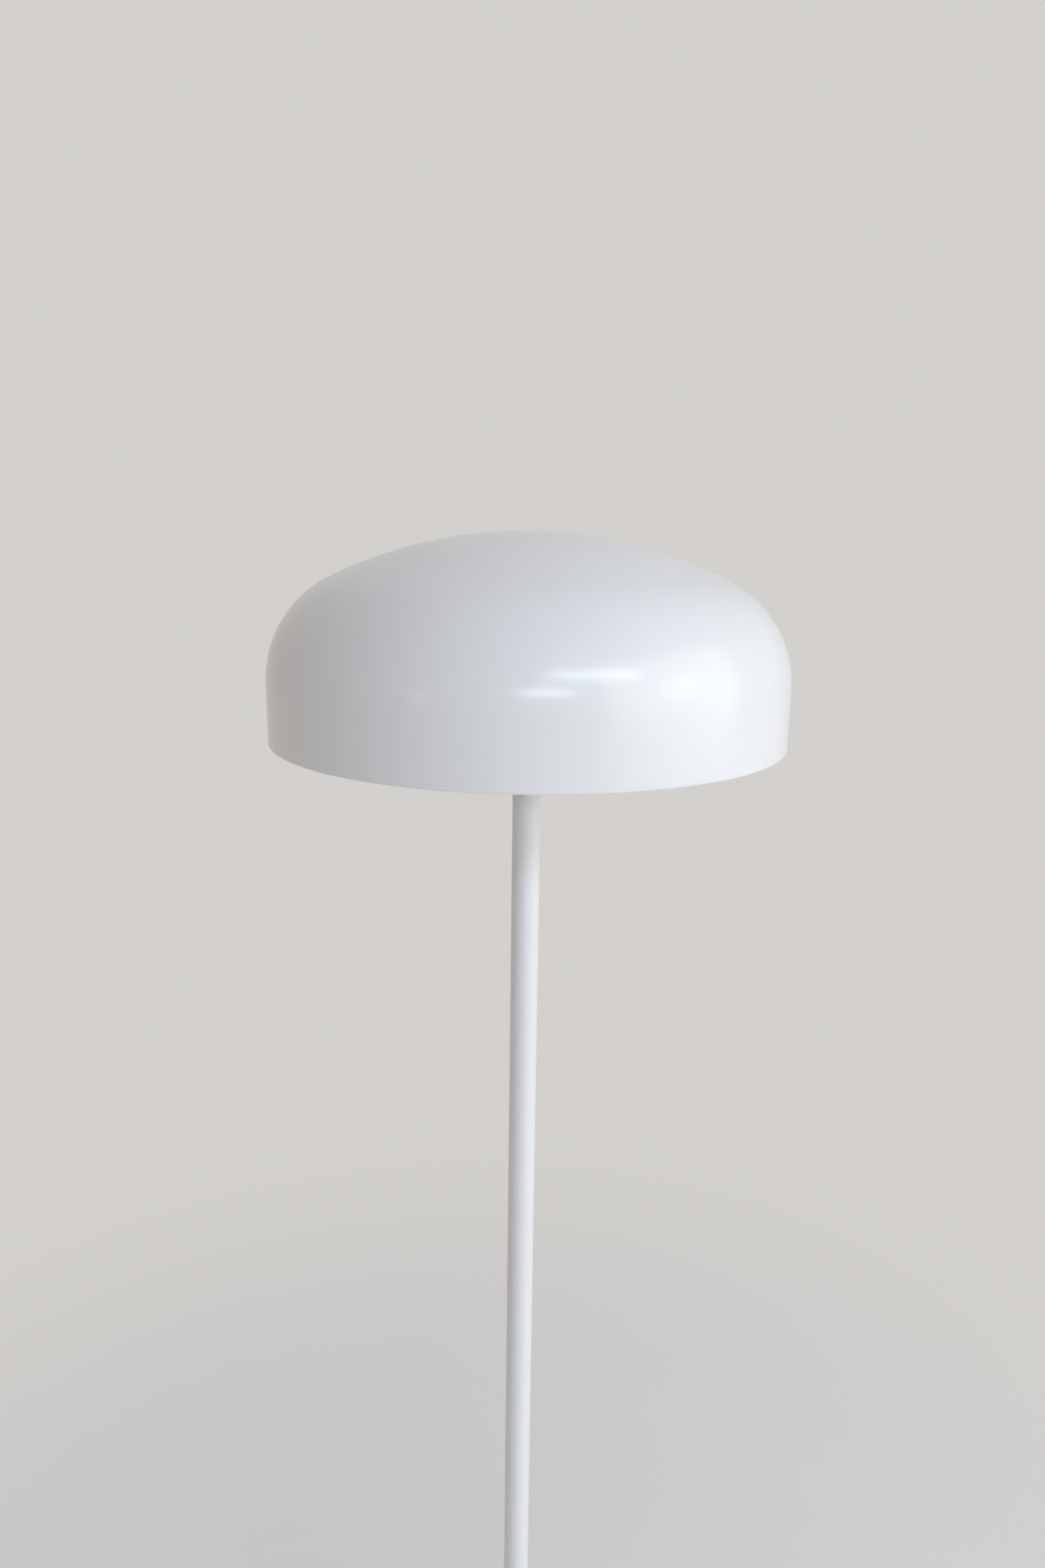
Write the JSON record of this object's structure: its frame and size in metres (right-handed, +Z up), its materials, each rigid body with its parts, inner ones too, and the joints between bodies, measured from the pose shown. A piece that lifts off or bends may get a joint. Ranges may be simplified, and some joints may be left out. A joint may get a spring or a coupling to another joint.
{
  "type": "mushroom floor lamp",
  "caption": "Floor lamp with a white spun dome shade on a slim straight stem and a round weighted base with a foot switch.",
  "frame": {"origin": "centre of the footprint on the floor, under the stem", "axes": "+Z up along the stem, +Y towards the back, where the mains lead comes in, +X to the lamp's right, where the foot switch is"},
  "size_m": [0.44, 0.4398, 1.5001],
  "materials": {
    "shade_coat": "spun aluminium under satin white powder coat",
    "stem_coat": "steel under satin white powder coat",
    "raw_iron": "raw grey casting",
    "zinc_steel": "bright zinc plate",
    "brass": "turned brass",
    "nickel": "nickel plate",
    "white_plastic": "moulded, fine matt grain",
    "bulb_shell": "smooth moulded",
    "opal": "opal, satin",
    "black_insulator": "black vitreous",
    "porcelain": "unglazed steatite",
    "board_white": "white solder mask",
    "phosphor": "phosphor dots",
    "rubber": "matt rubber",
    "black_plastic": "moulded, fine grain",
    "lead_jacket": "white flexible jacket"
  },
  "bodies": {
    "lamp": {"shade_ring_upper": "white_plastic", "shade_ring_lower": "white_plastic", "holder_skirt": "white_plastic", "holder_cap": "white_plastic", "holder_core": "porcelain", "screw_shell": "nickel", "centre_contact": "brass", "holder_terminals": "brass", "terminal_screws": "zinc_steel", "bulb_diffuser": "opal", "bulb_housing": "bulb_shell", "led_board": "board_white", "led_chips": "phosphor", "bulb_screw_cap": "nickel", "bulb_insulator": "black_insulator", "bulb_tip": "brass", "top_nipple": "zinc_steel", "lock_nut": "zinc_steel", "lock_washer": "zinc_steel", "top_insert": "stem_coat", "upper_tube": "stem_coat", "upper_joint_insert": "zinc_steel", "joint_stud": "zinc_steel", "lower_joint_insert": "zinc_steel", "lower_tube": "stem_coat", "foot_insert": "zinc_steel", "foot_collar": "stem_coat", "base_bolt": "zinc_steel", "load_washer": "zinc_steel", "clamp_nut": "zinc_steel", "base_cover": "stem_coat", "base_weight": "raw_iron", "bottom_plate": "zinc_steel", "plate_screws": "zinc_steel", "rubber_feet": "rubber", "cord_gland": "white_plastic", "lead_clamp": "zinc_steel", "clamp_screws": "zinc_steel", "switch_body": "black_plastic", "switch_bezel": "white_plastic", "switch_spring": "zinc_steel", "switch_terminals": "brass", "mains_lead": "lead_jacket", "stem_lead": "lead_jacket", "core_wires": "lead_jacket"},
    "shade": {"shade_shell": "shade_coat", "shade_spider": "stem_coat", "shade_studs": "zinc_steel", "shade_nuts": "zinc_steel"},
    "button": {"switch_button": "white_plastic"}
  },
  "joints": [
    {"name": "shade_turn", "type": "hinge", "parent": "lamp", "child": "shade", "pos_m": [0, 0, 1.365], "axis": [0, 0, 1], "continuous": true},
    {"name": "foot_switch_press", "type": "slide", "parent": "lamp", "child": "button", "axis": [0, 0, -1], "range_m": [0, 0.004], "stiffness_N_per_m": 2500, "deforming": ["switch_spring"]}
  ]
}
